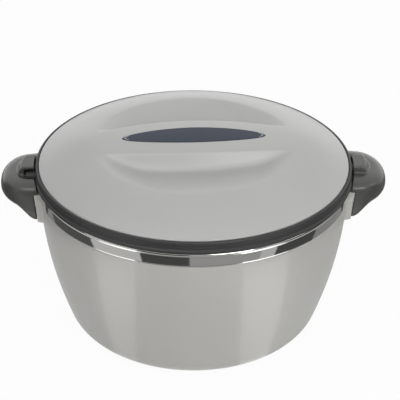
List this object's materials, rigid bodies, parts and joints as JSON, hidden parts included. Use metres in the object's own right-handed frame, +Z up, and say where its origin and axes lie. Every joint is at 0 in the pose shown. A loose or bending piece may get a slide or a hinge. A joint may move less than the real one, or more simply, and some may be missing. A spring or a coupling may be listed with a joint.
{
  "type": "insulated casserole",
  "caption": "Round insulated serving casserole: a tapered bowl with a steel liner and band, hooded side handles and a domed twist-lock lid with a grip bridge.",
  "frame": {"origin": "centre of the foot ring, on the surface the casserole stands on", "axes": "+Z up along the bowl's own axis; +X along the bridge of the lid towards the right handle; -Y towards the viewer of the picture"},
  "size_m": [0.3382, 0.2798, 0.1822],
  "materials": {
    "shell": "fine satin, pale warm grey with a slight silver cast",
    "lid_shell": "fine satin, pale warm grey with a slight silver cast",
    "handle": "satin moulded, dark grey",
    "ring": "satin moulded, very dark grey",
    "liner": "mirror-polished stainless steel band and rim, brushed inside",
    "lid_liner": "brushed stainless steel",
    "screw": "plain zinc-plated steel",
    "foam": "rigid foam, fine closed cells",
    "seal": "soft translucent silicone",
    "badge": "smooth slate blue, slightly glossy",
    "plug": "plain moulded"
  },
  "bodies": {
    "base": {"outer_shell": "shell", "foam_plug": "plug", "body_insulation": "foam", "inner_liner": "liner", "handle_right": "handle", "handle_left": "handle", "handle_screw_right_1": "screw", "handle_washer_right_1": "screw", "handle_screw_right_2": "screw", "handle_washer_right_2": "screw", "handle_screw_left_1": "screw", "handle_washer_left_1": "screw", "handle_screw_left_2": "screw", "handle_washer_left_2": "screw"},
    "seal": {"lid_seal": "seal"},
    "lid": {"lid_cover": "lid_shell", "lid_ring": "ring", "lid_insulation": "foam", "lid_liner": "lid_liner", "lid_badge": "badge"}
  },
  "joints": [
    {"name": "lid_lift", "type": "slide", "parent": "base", "child": "seal", "axis": [0, 0, 1], "range_m": [0, 0.15]},
    {"name": "lid_turn", "type": "hinge", "parent": "seal", "child": "lid", "pos_m": [0, 0, 0.15], "axis": [0, 0, 1], "range_deg": [-8.5, 0]}
  ]
}
